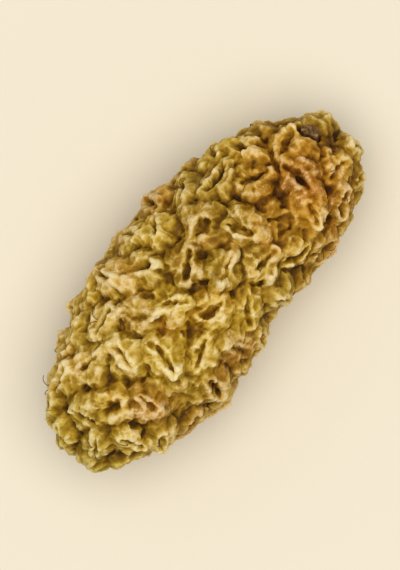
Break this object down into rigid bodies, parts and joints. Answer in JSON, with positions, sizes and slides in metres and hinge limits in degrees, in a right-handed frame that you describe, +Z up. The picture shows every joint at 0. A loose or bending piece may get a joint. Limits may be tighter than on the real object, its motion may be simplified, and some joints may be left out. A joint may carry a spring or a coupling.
{
  "type": "dried mulberry",
  "caption": "Single dried white mulberry lying on its side: fused, folded drupelets on a slightly bent, tapering body with a broken stalk stub.",
  "frame": {"origin": "middle of the berry's box, on the level of the resting spots under it", "axes": "+X along the berry towards the stalk end, +Y to the side that bulges, +Z up as it lies"},
  "size_m": [0.02, 0.0092, 0.0081],
  "materials": {
    "dried_flesh": "matte",
    "dry_stalk": "matte"
  },
  "bodies": {
    "root": {"mulberry_fruit": "dried_flesh", "stalk_stub": "dry_stalk"}
  },
  "joints": []
}
